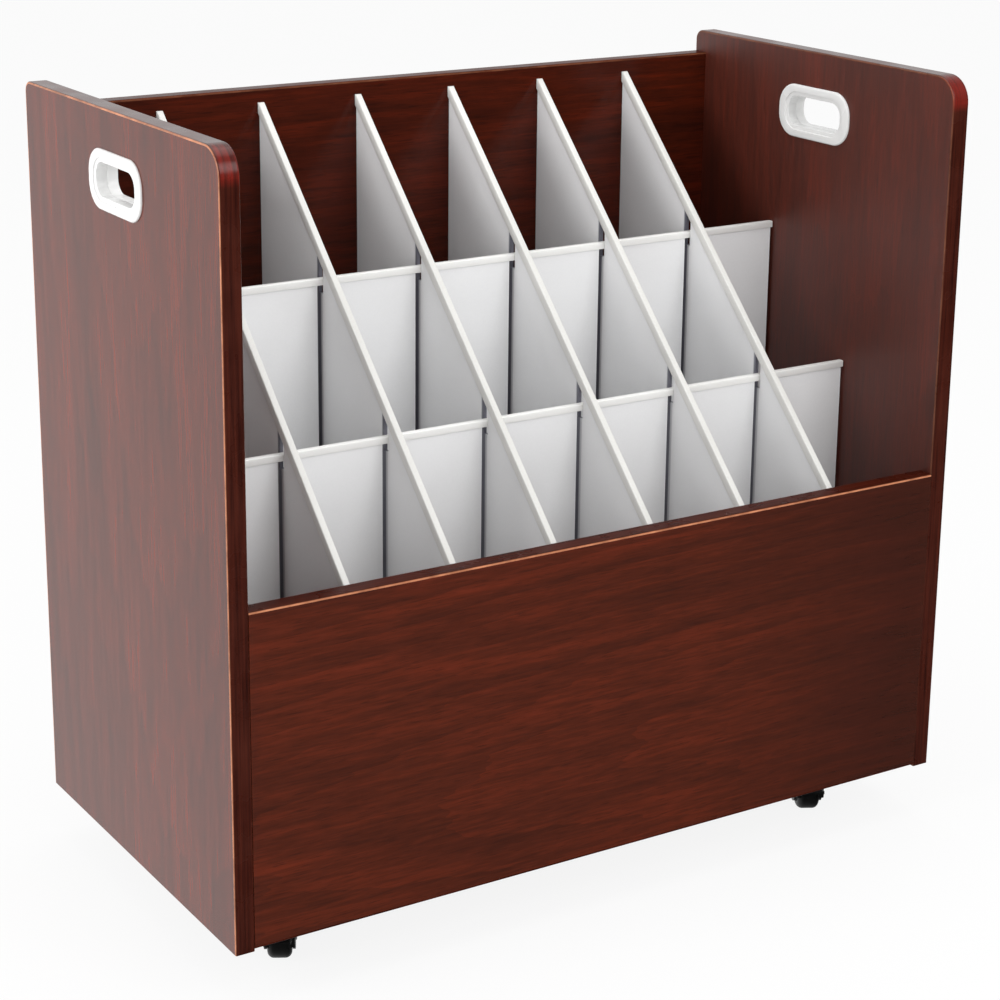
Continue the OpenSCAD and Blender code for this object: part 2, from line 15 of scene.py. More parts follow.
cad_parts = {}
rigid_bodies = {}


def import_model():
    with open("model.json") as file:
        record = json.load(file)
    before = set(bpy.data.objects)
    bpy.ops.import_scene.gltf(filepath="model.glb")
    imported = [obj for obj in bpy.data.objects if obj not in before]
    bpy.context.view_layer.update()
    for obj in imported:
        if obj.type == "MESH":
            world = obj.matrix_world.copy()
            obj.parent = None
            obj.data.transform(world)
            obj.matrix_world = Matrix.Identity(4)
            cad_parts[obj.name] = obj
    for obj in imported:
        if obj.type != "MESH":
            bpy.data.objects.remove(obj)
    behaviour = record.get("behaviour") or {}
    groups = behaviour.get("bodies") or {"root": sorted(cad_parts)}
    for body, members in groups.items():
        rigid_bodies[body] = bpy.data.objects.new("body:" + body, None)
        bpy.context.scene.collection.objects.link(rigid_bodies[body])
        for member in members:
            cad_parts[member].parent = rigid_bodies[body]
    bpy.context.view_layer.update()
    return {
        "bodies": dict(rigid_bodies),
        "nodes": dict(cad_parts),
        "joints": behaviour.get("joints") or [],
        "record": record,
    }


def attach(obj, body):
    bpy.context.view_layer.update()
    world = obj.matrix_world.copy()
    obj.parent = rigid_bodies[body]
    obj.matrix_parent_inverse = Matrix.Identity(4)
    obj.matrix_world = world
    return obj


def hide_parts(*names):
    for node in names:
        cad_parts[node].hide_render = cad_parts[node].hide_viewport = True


log = logging.getLogger("roll_file")
Colour = tuple[float, float, float]
Point = tuple[float, float, float]
Span = tuple[float, float]
Socket = bpy.types.NodeSocket
Material = bpy.types.Material
Piece = bpy.types.Object
Box = tuple[Point, Point]
PairTest = Callable[[Vector, Vector], bool]

# Lengths in metres that several pieces share.
OUTER_X = 0.384
INNER_X = 0.366
ROW_Y = 0.364 / 6
NEAR = 1e-5

# Angles in degrees at which an edge counts as hard, and how squarely a face looks sideways.
BEVEL_ANGLE = 38.0
SHADE_ANGLE = 32.0
FLAT_ANGLE = 0.6
FACING = 0.99

LAMINATE_IOR = 1.5
WHITE: Colour = (1.0, 1.0, 1.0)
FULL: Span = (0.0, 1.0)


class Grain(Enum):
    """Direction of the wood grain on a board."""

    UPRIGHT = "upright"
    ACROSS = "across"


class Side(Enum):
    """The cabinet's left and right, as a sign along X."""

    LEFT = -1
    RIGHT = 1


class End(Enum):
    """The cabinet's front and rear, as a sign along Y."""

    FRONT = -1
    REAR = 1


# Node graphs


class Nodes:
    """A node tree, with short calls for the nodes that materials and the world share."""

    def __init__(self, tree: bpy.types.NodeTree) -> None:
        """Empties the tree.

        Args:
            tree: The tree of a material or of the world.
        """
        self.nodes, self.links = tree.nodes, tree.links
        self.nodes.clear()

    def plug(self, socket: Socket, value: object) -> None:
        """Links or sets a socket.

        Args:
            socket: The input socket.
            value: Another node's output, a number or a colour.
        """
        if isinstance(value, Socket):
            self.links.new(value, socket)
        else:
            socket.default_value = (*value, 1.0) if isinstance(value, tuple) else value

    def calc(self, kind: str, first: object, second: object) -> Socket:
        """Combines two values.

        Args:
            kind: The operation, such as MULTIPLY.
            first: A socket or number.
            second: A socket or number.

        Returns:
            The result.
        """
        node = self.nodes.new("ShaderNodeMath")
        node.operation = kind
        self.plug(node.inputs[0], first)
        self.plug(node.inputs[1], second)
        return node.outputs[0]

    def spread(self, value: Socket, span: Span, to: Span = FULL, rise: str = "LINEAR") -> Socket:
        """Stretches a value from one range to another, clamped.

        Args:
            value: The value.
            span: Its range.
            to: The new range.
            rise: LINEAR or SMOOTHSTEP.

        Returns:
            The stretched value.
        """
        node = self.nodes.new("ShaderNodeMapRange")
        node.interpolation_type = rise
        self.plug(node.inputs["Value"], value)
        for name, level in zip(("From Min", "From Max", "To Min", "To Max"), (*span, *to)):
            node.inputs[name].default_value = level
        return node.outputs["Result"]


class Graph(Nodes):
    """A material's nodes, on object coordinates."""

    def __init__(self, name: str) -> None:
        """Makes an empty material with its output and shader.

        Args:
            name: The material's name.
        """
        self.material = bpy.data.materials.new(name)
        self.material.use_nodes = True
        super().__init__(self.material.node_tree)
        self.shader = self.nodes.new("ShaderNodeBsdfPrincipled")
        self.output = self.nodes.new("ShaderNodeOutputMaterial")
        self.links.new(self.shader.outputs["BSDF"], self.output.inputs["Surface"])
        self.place = self.nodes.new("ShaderNodeTexCoord").outputs["Object"]

    def mapped(self, scale: Point, turn: Point = (0, 0, 0), shift: Point = (0, 0, 0)) -> Socket:
        """Gives object coordinates, stretched and turned.

        Args:
            scale: Scale along each axis, per metre.
            turn: Rotation in degrees.
            shift: Shift after scaling.

        Returns:
            The mapped coordinates.
        """
        node = self.nodes.new("ShaderNodeMapping")
        self.plug(node.inputs["Vector"], self.place)
        node.inputs["Scale"].default_value = scale
        node.inputs["Rotation"].default_value = [math.radians(angle) for angle in turn]
        node.inputs["Location"].default_value = shift
        return node.outputs["Vector"]

    def along(self, axis: str) -> Socket:
        """Gives one of the object coordinates.

        Args:
            axis: X, Y or Z.

        Returns:
            The coordinate in metres.
        """
        node = self.nodes.new("ShaderNodeSeparateXYZ")
        self.plug(node.inputs[0], self.place)
        return node.outputs[axis]

    def noise(self, scale: object, detail: float, rough: float, twist: float = 0.0, turn: Point = (0, 0, 0)) -> Socket:
        """Gives a noise value from 0 to 1.

        Args:
            scale: Scale per metre, as one number or as one for each axis.
            detail: Number of octaves.
            rough: Weight of the finer octaves.
            twist: Distortion.
            turn: Rotation in degrees.

        Returns:
            The noise value.
        """
        node = self.nodes.new("ShaderNodeTexNoise")
        self.plug(node.inputs["Vector"], self.mapped(scale if isinstance(scale, tuple) else (scale,) * 3, turn))
        for name, value in (("Scale", 1.0), ("Detail", detail), ("Roughness", rough), ("Distortion", twist)):
            node.inputs[name].default_value = value
        return node.outputs["Fac"]

    def rings(self, vector: Socket, scale: float, twist: float) -> Socket:
        """Gives growth rings round the origin of the coordinates.

        Args:
            vector: Coordinates, stretched along the grain.
            scale: Scale of the rings.
            twist: Distortion of the rings.

        Returns:
            The ring value from 0 to 1.
        """
        node = self.nodes.new("ShaderNodeTexWave")
        node.wave_type = "RINGS"
        node.rings_direction = "SPHERICAL"
        node.wave_profile = "SAW"
        self.plug(node.inputs["Vector"], vector)
        node.inputs["Scale"].default_value = scale
        node.inputs["Distortion"].default_value = twist
        node.inputs["Detail"].default_value = 3.0
        node.inputs["Detail Scale"].default_value = 1.4
        node.inputs["Detail Roughness"].default_value = 0.6
        return node.outputs["Fac"]

    def mixture(self, first: Socket, second: Socket, share: float) -> Socket:
        """Gives the weighted mean of two values.

        Args:
            first: A value.
            second: A value.
            share: Share of the second one.

        Returns:
            The mean.
        """
        return self.calc("ADD", self.calc("MULTIPLY", first, 1 - share), self.calc("MULTIPLY", second, share))

    def ramp(self, value: Socket, stops: list[tuple[float, Colour]]) -> Socket:
        """Turns a value into a colour.

        Args:
            value: The value.
            stops: Positions with their colours.

        Returns:
            The colour.
        """
        node = self.nodes.new("ShaderNodeValToRGB")
        self.plug(node.inputs["Fac"], value)
        band = node.color_ramp
        while len(band.elements) < len(stops):
            band.elements.new(0.5)
        for element, (position, colour) in zip(band.elements, stops):
            element.position = position
            element.color = (*colour, 1.0)
        return node.outputs["Color"]

    def blend(self, share: object, first: object, second: object) -> Socket:
        """Mixes two colours.

        Args:
            share: Share of the second colour.
            first: A colour or socket.
            second: A colour or socket.

        Returns:
            The mixed colour.
        """
        node = self.nodes.new("ShaderNodeMix")
        node.data_type = "RGBA"
        for slot, value in ((0, share), (6, first), (7, second)):
            self.plug(node.inputs[slot], value)
        return node.outputs[2]

    def relief(self, height: Socket, depth: float, strength: float) -> None:
        """Bumps the surface.

        Args:
            height: Height from 0 to 1.
            depth: Depth of the relief in metres.
            strength: Share of the bump.
        """
        node = self.nodes.new("ShaderNodeBump")
        node.inputs["Strength"].default_value = strength
        node.inputs["Distance"].default_value = depth
        self.plug(node.inputs["Height"], height)
        self.links.new(node.outputs["Normal"], self.shader.inputs["Normal"])

    def done(self, colour: object, rough: object, **plain: float) -> Material:
        """Sets the shader and gives the material.

        Args:
            colour: Base colour or its socket.
            rough: Roughness or its socket.
            plain: Other shader inputs by name, with underscores for spaces.

        Returns:
            The material.
        """
        self.plug(self.shader.inputs["Base Color"], colour)
        self.plug(self.shader.inputs["Roughness"], rough)
        for name, value in plain.items():
            self.shader.inputs[name.replace("_", " ")].default_value = value
        return self.material


# Finishes


@dataclass(frozen=True)
class Layer:
    """One layer of noise in the laminate's grain."""

    across: float
    along: float
    detail: float
    rough: float
    twist: float = 0.0


@dataclass(frozen=True)
class MahoganyLaminate:
    """Red-brown wood-grain laminate on the cabinet's boards."""

    name: str
    grain: Grain
    middle: Colour
    roughness: float = 0.16
    contrast: float = 1.0
    sheen: float = 0.5
    inner_rough: float = 0.0
    # Share of painted shade on the inner faces.
    inner_dark: float = 0.0
    # Share of painted shade towards the right end.
    right_dark: float = 0.0
    inner_face: Span = (0.368, 0.380)
    right_end: Span = (0.08, 0.34)
    upright_heart: Point = (0.35, 0.3, -1.1)
    across_heart: Point = (-0.25, 0.4, -0.6)
    broad: Layer = Layer(24, 2.0, 3, 0.55, 0.9)
    streaks: Layer = Layer(105, 6.5, 4, 0.62, 0.6)
    fibres: Layer = Layer(340, 28, 3, 0.6, 0.5)
    pores: Layer = Layer(800, 45, 2, 0.5)

    def stretched(self, across: float, along: float) -> Point:
        """Gives a scale that is fine across the grain and coarse along it.

        Args:
            across: Scale across the grain.
            along: Scale along the grain.

        Returns:
            The scale along each axis.
        """
        if self.grain is Grain.UPRIGHT:
            return (across, across, along)
        return (along, across, across)

    def laid(self, graph: Graph, layer: Layer) -> Socket:
        """Lays a layer of noise along the grain.

        Args:
            graph: The material's graph.
            layer: The layer.

        Returns:
            Its value from 0 to 1.
        """
        return graph.noise(self.stretched(layer.across, layer.along), layer.detail, layer.rough, layer.twist)

    def shade(self, level: float) -> Colour:
        """Gives the laminate's colour at another level, browner where it is darker, more orange where it is lighter.

        Args:
            level: Share of the middle colour.

        Returns:
            The colour.
        """
        red, green, blue = self.middle
        return (red * level, green * level**0.55, blue * level**0.2)

    def toned(self, graph: Graph, fibres: Socket) -> Socket:
        """Builds the grain's colour from a faint cathedral figure, broad waves, streaks and fibres.

        Args:
            graph: The material's graph.
            fibres: The fibres' value.

        Returns:
            The colour.
        """
        heart = self.upright_heart if self.grain is Grain.UPRIGHT else self.across_heart
        figure = graph.rings(graph.mapped(self.stretched(4.2, 0.5), shift=heart), 5.0, 4.0)
        wave = 0.26 * self.contrast
        tone = graph.spread(self.laid(graph, self.broad), (0.25, 0.75), (-wave, wave))
        for value, share in ((self.laid(graph, self.streaks), wave), (fibres, 0.9 * wave)):
            tone = graph.calc("ADD", tone, graph.spread(value, (0.28, 0.72), (-share, share)))
        tone = graph.calc("ADD", tone, graph.spread(figure, FULL, (0.42, 0.58)))
        return graph.ramp(tone, [(0.15, self.shade(0.55)), (0.5, self.middle), (0.85, self.shade(1.65))])

    def material(self) -> Material:
        """Builds the grain with fine pores. Where asked, it paints shade on the inner faces and towards the right end,
        and makes the inner faces rougher.

        Returns:
            The material.
        """
        graph = Graph(self.name)
        fibres = self.laid(graph, self.fibres)
        pores = graph.spread(self.laid(graph, self.pores), (0.58, 0.70))
        x = graph.along("X")
        off = graph.calc("ABSOLUTE", x, 0.0)
        colour = self.toned(graph, fibres)
        for share in (
            graph.calc("MULTIPLY", pores, 0.6),
            # painted shade towards the right end of the front panel
            graph.spread(x, self.right_end, (0.0, self.right_dark)),
            # painted shade on the inner faces of the side panels
            graph.spread(off, self.inner_face, (self.inner_dark, 0.0)),
        ):
            colour = graph.blend(share, colour, self.shade(0.4))
        graph.relief(graph.calc("SUBTRACT", fibres, pores), 0.00004, 0.15)
        rough = graph.spread(fibres, (0.3, 0.7), (self.roughness, self.roughness + 0.06))
        rough = graph.calc("ADD", rough, graph.spread(off, self.inner_face, (self.inner_rough, 0.0)))
        return graph.done(colour, rough, IOR=LAMINATE_IOR, Specular_IOR_Level=self.sheen)


@dataclass(frozen=True)
class EdgeBand:
    """Mahogany-coloured plastic band on a board's edge, with painted highlight and wear along its corners and a
    painted red highlight where it is bent.
    """

    name: str
    across: str
    middle: float
    sheen: float
    dark: Colour = (0.022, 0.0028, 0.0013)
    light: Colour = (0.070, 0.0110, 0.0045)
    # Colour of the painted highlight and wear on the corners.
    wear_and_highlight: Colour = (0.62, 0.25, 0.13)
    # Colour of the painted red highlight on the rounded bend of the front corner.
    bend_highlight: Colour = (0.20, 0.0095, 0.0045)
    bend_y: Span = (-0.176, -0.186)
    bend_z: Span = (0.711, 0.719)
    line: Span = (0.0083, 0.0089)
    # Share on the inner corner, and the heights below which the corners have no painted highlight and wear.
    inner_wear_and_highlight: float = 0.22
    plain_corner_z: Span = (0.08, 0.12)
    streak_scale: float = 420.0
    even_scale: float = 9.0

    def corner(self, graph: Graph, off: Socket, side: int, level: float) -> Socket:
        """Gives the painted highlight and wear of one long corner.

        Args:
            graph: The material's graph.
            off: Distance from the band's middle, outwards.
            side: 1 for the outer corner, -1 for the inner one.
            level: Share of the painted highlight and wear.

        Returns:
            The painted highlight and wear, patchy along the corner.
        """
        line = graph.spread(off, (side * self.line[0], side * self.line[1]), (0.0, level))
        patchy = graph.spread(graph.noise(45, 3, 0.6), (0.35, 0.65), (0.45, 1.0))
        return graph.calc("MULTIPLY", line, patchy)

    def material(self) -> Material:
        """Builds a band with fine streaks along it, a painted red highlight on the bend, and painted highlight and
        wear on its corners, but none on the lowest edge.

        Returns:
            The material.
        """
        graph = Graph(self.name)
        fine, even = self.streak_scale, self.even_scale
        scale = (fine, even, even) if self.across == "X" else (even, fine, fine)
        streak = graph.noise(scale, 3, 0.6)
        soft = graph.noise(18, 3, 0.6)
        tone = graph.mixture(streak, soft, 0.35)
        graph.relief(streak, 0.00003, 0.3)
        colour = graph.ramp(tone, [(0.34, self.dark), (0.64, self.light)])
        high = graph.along("Z")
        # Painted red highlight on the bend, patchy with the streaks.
        bend = graph.calc("MULTIPLY", graph.spread(graph.along("Y"), self.bend_y), graph.spread(high, self.bend_z))
        red = graph.calc("MULTIPLY", bend, graph.spread(tone, (0.38, 0.62), (0.15, 0.95)))
        colour = graph.blend(red, colour, self.bend_highlight)
        off = graph.calc("SUBTRACT", graph.calc("ABSOLUTE", graph.along(self.across), 0.0), self.middle)
        # Painted highlight and wear along the band's two long corners, fading out towards the floor on the cross
        # bands.
        outer, inner = self.corner(graph, off, 1, 1.0), self.corner(graph, off, -1, self.inner_wear_and_highlight)
        corner_wear_and_highlight = graph.calc("MAXIMUM", outer, inner)
        if self.across == "Y":
            corner_wear_and_highlight = graph.calc("MULTIPLY", corner_wear_and_highlight, graph.spread(high, self.plain_corner_z))
        colour = graph.blend(corner_wear_and_highlight, colour, self.wear_and_highlight)
        rough = graph.spread(soft, (0.3, 0.7), (0.22, 0.34))
        return graph.done(colour, rough, IOR=LAMINATE_IOR, Specular_IOR_Level=self.sheen)


@dataclass(frozen=True)
class PlainSheet:
    """A pale, finely mottled sheet or moulding."""

    name: str
    shade: Colour = (0.885, 0.885, 0.89)
    deep: Colour = (0.83, 0.83, 0.835)
    roughness: float = 0.45
    speckle: float = 600.0

    def toned(self, graph: Graph, tone: Socket) -> Socket:
        """Gives the sheet's mottled colour.

        Args:
            graph: The material's graph.
            tone: The mottling's value.

        Returns:
            The colour.
        """
        return graph.ramp(tone, [(0.32, self.deep), (0.62, self.shade)])

    def material(self) -> Material:
        """Builds slow mottling, a fine tooth and slight gloss changes.

        Returns:
            The material.
        """
        graph = Graph(self.name)
        slow = graph.noise(7, 3, 0.55)
        tooth = graph.noise(self.speckle, 2, 0.6)
        graph.relief(tooth, 0.00004, 0.4)
        colour = self.toned(graph, graph.mixture(slow, tooth, 0.25))
        rough = graph.spread(slow, (0.3, 0.7), (self.roughness - 0.05, self.roughness + 0.08))
        return graph.done(colour, rough, IOR=LAMINATE_IOR)


@dataclass(frozen=True)
class DividerSheet(PlainSheet):
    """Pale laminated divider board, with painted shade where the cross boards pass through it."""

    crossings: Span = (-ROW_Y, ROW_Y)
    # Colour, extent and strength of the painted shade beside each cross board.
    shadow: Colour = (0.050, 0.050, 0.086)
    crossing_shade_span: Span = (-0.003, 0.009)
    darkness: tuple[Span, ...] = (
        (0.0, 0.0),
        (0.06, 0.28),
        (0.26, 0.38),
        (0.35, 0.88),
        (0.76, 0.88),
        (0.95, 0.0),
    )

    def toned(self, graph: Graph, tone: Socket) -> Socket:
        """Gives the mottled colour with painted shade at the crossings.

        Args:
            graph: The material's graph.
            tone: The mottling's value.

        Returns:
            The colour.
        """
        colour = super().toned(graph, tone)
        stops = [(at, (dark,) * 3) for at, dark in self.darkness]
        # Painted shade along each crossing.
        for y in self.crossings:
            off = graph.calc("SUBTRACT", graph.along("Y"), y)
            share = graph.ramp(graph.spread(off, self.crossing_shade_span), stops)
            colour = graph.blend(share, colour, self.shadow)
        return colour


@dataclass(frozen=True)
class Metal:
    """Bare or plated metal with fine scratches and cloudy plating."""

    name: str
    bright: Colour
    dull: Colour
    roughness: float
    brushed: Point = (2200, 160, 2200)
    brush_turn: Point = (20, 10, 35)

    def material(self) -> Material:
        """Builds cloudy plating with fine directional scratches.

        Returns:
            The material.
        """
        graph = Graph(self.name)
        cloud = graph.noise(140, 4, 0.6)
        scratch = graph.noise(self.brushed, 2, 0.5, turn=self.brush_turn)
        graph.relief(scratch, 0.00003, 0.3)
        colour = graph.ramp(cloud, [(0.35, self.dull), (0.65, self.bright)])
        rough = graph.spread(scratch, (0.35, 0.65), (self.roughness, self.roughness + 0.15))
        return graph.done(colour, rough, Metallic=1.0)


@dataclass(frozen=True)
class BlackPlastic:
    """Black moulded plastic with a fine grain, greyer where it has been rubbed."""

    name: str
    shade: Colour
    wear_and_highlight: Colour
    roughness: float = 0.42

    def material(self) -> Material:
        """Builds moulded grain and soft rubbed patches.

        Returns:
            The material.
        """
        graph = Graph(self.name)
        rubbed = graph.spread(graph.noise(60, 4, 0.65), (0.45, 0.75), (0.0, 0.6))
        graph.relief(graph.noise(1500, 2, 0.5), 0.00005, 0.5)
        colour = graph.blend(rubbed, self.shade, self.wear_and_highlight)
        rough = graph.spread(rubbed, (0.0, 0.6), (self.roughness, self.roughness - 0.1))
        return graph.done(colour, rough, Specular_IOR_Level=0.25)


@dataclass(frozen=True)
class DowelWood:
    """Pale beech of the dowels."""

    pale: Colour = (0.52, 0.34, 0.18)
    brown: Colour = (0.36, 0.20, 0.09)
    fibres: Point = (60, 900, 900)

    def material(self) -> Material:
        """Builds short beech streaks.

        Returns:
            The material.
        """
        graph = Graph("dowel_wood")
        streak = graph.noise(self.fibres, 3, 0.6)
        graph.relief(streak, 0.00008, 0.4)
        return graph.done(graph.ramp(streak, [(0.35, self.brown), (0.65, self.pale)]), 0.65)


def made(finish: object) -> Material:
    """Gives a dataclass field that makes a finish's material.

    Args:
        finish: The finish.

    Returns:
        The field.
    """
    return field(default_factory=finish.material)


@dataclass
class Finishes:
    """Every finish of the object, each made once."""

    side: Material = made(
        MahoganyLaminate(
            "mahogany_side", Grain.UPRIGHT, (0.103, 0.0170, 0.0078), 0.20, 0.7, inner_rough=0.2, inner_dark=0.4
        )
    )
    front: Material = made(
        MahoganyLaminate("mahogany_front", Grain.ACROSS, (0.080, 0.0146, 0.0066), contrast=0.7, right_dark=0.7)
    )
    # The back panel and shelf use the front's laminate, given a darker colour as painted shade.
    back: Material = made(
        MahoganyLaminate("mahogany_back", Grain.ACROSS, (0.052, 0.0080, 0.0034), contrast=0.7, sheen=0.15)
    )
    side_band: Material = made(EdgeBand("side_edge_band", "X", 0.375, 0.30))
    cross_band: Material = made(EdgeBand("cross_edge_band", "Y", 0.191, 0.03))
    sheet: Material = made(PlainSheet("cross_board"))
    slotted: Material = made(DividerSheet("divider_board"))
    # One off-white moulding in two copies: a darker one on the sloping caps as painted shade, a lighter one on the
    # level caps as painted light.
    strip: Material = made(PlainSheet("cap_strip", (0.76, 0.755, 0.73), (0.70, 0.695, 0.665), 0.36, 900))
    lit_level_strip: Material = made(PlainSheet("level_cap_strip", (0.91, 0.905, 0.885), (0.87, 0.865, 0.84), 0.36, 900))
    grip: Material = made(PlainSheet("grip_plastic", (0.79, 0.79, 0.785), (0.74, 0.74, 0.73), 0.26, 1200))
    cam: Material = made(Metal("cam_zinc", (0.62, 0.60, 0.56), (0.45, 0.44, 0.42), 0.38))
    steel: Material = made(Metal("zinc_steel", (0.72, 0.73, 0.74), (0.52, 0.53, 0.54), 0.24))
    plate: Material = made(Metal("plate_steel", (0.46, 0.47, 0.48), (0.30, 0.31, 0.32), 0.34))
    hood: Material = made(BlackPlastic("hood_plastic", (0.005,) * 3, (0.014,) * 3))
    wheel: Material = made(BlackPlastic("wheel_plastic", (0.005,) * 3, (0.018, 0.0175, 0.017), 0.5))
    wood: Material = made(DowelWood())


# Modelling by hand


def deselect() -> None:
    """Leaves nothing selected."""
    bpy.ops.object.select_all(action="DESELECT")


def only(piece: Piece) -> None:
    """Selects one piece and nothing else, and makes it active.

    Args:
        piece: The piece.
    """
    deselect()
    piece.select_set(True)
    bpy.context.view_layer.objects.active = piece


@contextmanager
def editing(piece: Piece, mode: str) -> Iterator[None]:
    """Opens a piece in edit mode with nothing selected.

    Args:
        piece: The piece.
        mode: VERT, EDGE or FACE.

    Yields:
        Nothing.
    """
    only(piece)
    bpy.ops.object.mode_set(mode="EDIT")
    bpy.ops.mesh.select_mode(type=mode)
    bpy.ops.mesh.select_all(action="DESELECT")
    yield
    bpy.ops.object.mode_set(mode="OBJECT")


def pick(piece: Piece, test: PairTest, faces: bool = False) -> None:
    """Selects the edges whose ends pass a test, or the faces whose middle and normal do, in edit mode.

    Args:
        piece: The piece in edit mode.
        test: Takes two ends, or a middle and a normal.
        faces: Whether faces are picked.
    """
    work = bmesh.from_edit_mesh(piece.data)
    for item in work.faces if faces else work.edges:
        pair = (item.calc_center_median(), item.normal) if faces else (end.co for end in item.verts)
        item.select_set(test(*pair))
    bmesh.update_edit_mesh(piece.data)


def settled(name: str) -> Piece:
    """Names the new piece and puts its place, turn and size into its mesh.

    Args:
        name: The piece's name.

    Returns:
        The piece.
    """
    piece = bpy.context.active_object
    piece.name = name
    only(piece)
    bpy.ops.object.transform_apply(location=True, rotation=True, scale=True)
    return piece


def block(name: str, low: Point, high: Point) -> Piece:
    """Adds a block between two corners.

    Args:
        name: The piece's name.
        low: Its lowest corner.
        high: Its highest corner.

    Returns:
        The block.
    """
    deselect()
    middle = [(a + b) / 2 for a, b in zip(low, high)]
    bpy.ops.mesh.primitive_cube_add(size=1, location=middle, scale=[b - a for a, b in zip(low, high)])
    return settled(name)


def rod(name: str, radius: float, start: Point, end: Point, sides: int) -> Piece:
    """Adds a round rod between two points.

    Args:
        name: The piece's name.
        radius: Its radius.
        start: Middle of one end.
        end: Middle of the other end.
        sides: Number of its flats.

    Returns:
        The rod.
    """
    deselect()
    start, end = Vector(start), Vector(end)
    line = end - start
    turn = line.to_track_quat("Z", "Y").to_euler()
    bpy.ops.mesh.primitive_cylinder_add(
        vertices=sides, radius=radius, depth=line.length, location=(start + end) / 2, rotation=turn
    )
    return settled(name)


def round_edges(piece: Piece, width: float, steps: int, test: PairTest) -> None:
    """Rounds chosen edges.

    Args:
        piece: The piece.
        width: Radius of the rounding.
        steps: Number of its steps.
        test: Takes the two ends of an edge.
    """
    with editing(piece, "EDGE"):
        pick(piece, test)
        bpy.ops.mesh.bevel(offset=width, segments=steps, affect="EDGES", clamp_overlap=True)


def slice_off(piece: Piece, point: Point, normal: Point) -> None:
    """Cuts off what is in front of a plane and closes the cut.

    Args:
        piece: The piece.
        point: A point of the plane.
        normal: The plane's normal, towards what goes.
    """
    with editing(piece, "FACE"):
        bpy.ops.mesh.select_all(action="SELECT")
        bpy.ops.mesh.bisect(plane_co=point, plane_no=normal, use_fill=True, clear_outer=True)


def combine(piece: Piece, way: str, *others: Piece) -> None:
    """Cuts other pieces out of this one, or adds them.

    Args:
        piece: The piece that stays.
        way: DIFFERENCE or UNION.
        others: The pieces that are used up.
    """
    for other in others:
        modifier = piece.modifiers.new("combine", "BOOLEAN")
        modifier.operation = way
        modifier.solver = "EXACT"
        modifier.object = other
        only(piece)
        bpy.ops.object.modifier_apply(modifier=modifier.name)
        bpy.data.objects.remove(other, do_unlink=True)


def put_in_order(piece: Piece) -> None:
    """Orders edges and faces by their corners, because a boolean may give them in any order.

    Args:
        piece: The piece.
    """
    with editing(piece, "VERT"):
        work = bmesh.from_edit_mesh(piece.data)
        for items in (work.edges, work.faces):
            ordered = sorted(items, key=lambda item: sorted(end.index for end in item.verts))
            for place, item in enumerate(ordered):
                item.index = place
            items.sort()
        bmesh.update_edit_mesh(piece.data)


def smooth(piece: Piece) -> None:
    """Shades a piece smooth except over its hard edges.

    Args:
        piece: The piece.
    """
    only(piece)
    bpy.ops.object.shade_smooth_by_angle(angle=math.radians(SHADE_ANGLE))


def soften(piece: Piece, width: float, steps: int = 2) -> None:
    """Takes the sharpness off every hard edge and shades the piece smooth.

    Args:
        piece: The piece.
        width: Width of the rounding.
        steps: Number of its steps.
    """
    with editing(piece, "VERT"):
        bpy.ops.mesh.select_all(action="SELECT")
        bpy.ops.mesh.remove_doubles(threshold=NEAR)
        bpy.ops.mesh.dissolve_limited(angle_limit=math.radians(FLAT_ANGLE))
    modifier = piece.modifiers.new("soften", "BEVEL")
    modifier.width = width
    modifier.segments = steps
    modifier.limit_method = "ANGLE"
    modifier.angle_limit = math.radians(BEVEL_ANGLE)
    modifier.miter_outer = "MITER_ARC"
    only(piece)
    bpy.ops.object.modifier_apply(modifier=modifier.name)
    smooth(piece)


def turned(angle: float, axis: str) -> Matrix:
    """Gives a rotation.

    Args:
        angle: Angle in degrees.
        axis: X, Y or Z.

    Returns:
        The rotation.
    """
    return Matrix.Rotation(math.radians(angle), 4, axis)


def copied(piece: Piece, name: str, place: Matrix) -> Piece:
    """Copies a piece with its own mesh.

    Args:
        piece: The piece.
        name: The copy's name.
        place: Where the copy goes.

    Returns:
        The copy, with its place in its mesh.
    """
    twin = piece.copy()
    twin.data = piece.data.copy()
    twin.name = name
    twin.data.name = name
    bpy.context.collection.objects.link(twin)
    twin.data.transform(place)
    return twin


@dataclass
class Fitter:
    """Dresses CAD nodes and hangs new pieces on the frame."""

    frame: dict
    shown: int = 0

    def dress(self, node: str, material: Material) -> None:
        """Gives a CAD node its material.

        Args:
            node: The node's name.
            material: Its material.
        """
        piece = self.frame["nodes"][node]
        piece.data.materials.clear()
        piece.data.materials.append(material)
        self.shown += 1
        log.info("dressed %s", node)

    def hang(self, piece: Piece, node: str, body: str, slot: str, material: Material) -> None:
        """Puts a new piece in a CAD node's place.

        Args:
            piece: The new piece.
            node: The node that it stands for.
            body: The body that it rides on.
            slot: The record's material slot; not used.
            material: Its material.
        """
        piece.data.materials.clear()
        piece.data.materials.append(material)
        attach(piece, body)
        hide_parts(node)
        self.shown += 1
        log.info("built %s on %s", piece.name, body)


# The object


@dataclass
class Carcass:
    """Side panels, front, back and shelf with their bands, and the hidden fittings."""

    fitter: Fitter
    looks: Finishes

    def build(self) -> None:
        """Dresses the boards, bands and fittings."""
        looks = self.looks
        for node, finish in (
            ("left_side_panel", looks.side),
            ("left_edge_band", looks.side_band),
            ("right_side_panel", looks.side),
            ("right_edge_band", looks.side_band),
            ("front_panel", looks.front),
            ("back_panel", looks.back),
            ("bottom_shelf", looks.back),
            ("front_panel_band", looks.cross_band),
            ("back_panel_band", looks.cross_band),
            ("cam_locks", looks.cam),
            ("cam_bolts", looks.steel),
            ("dowels", looks.wood),
        ):
            self.fitter.dress(node, finish)


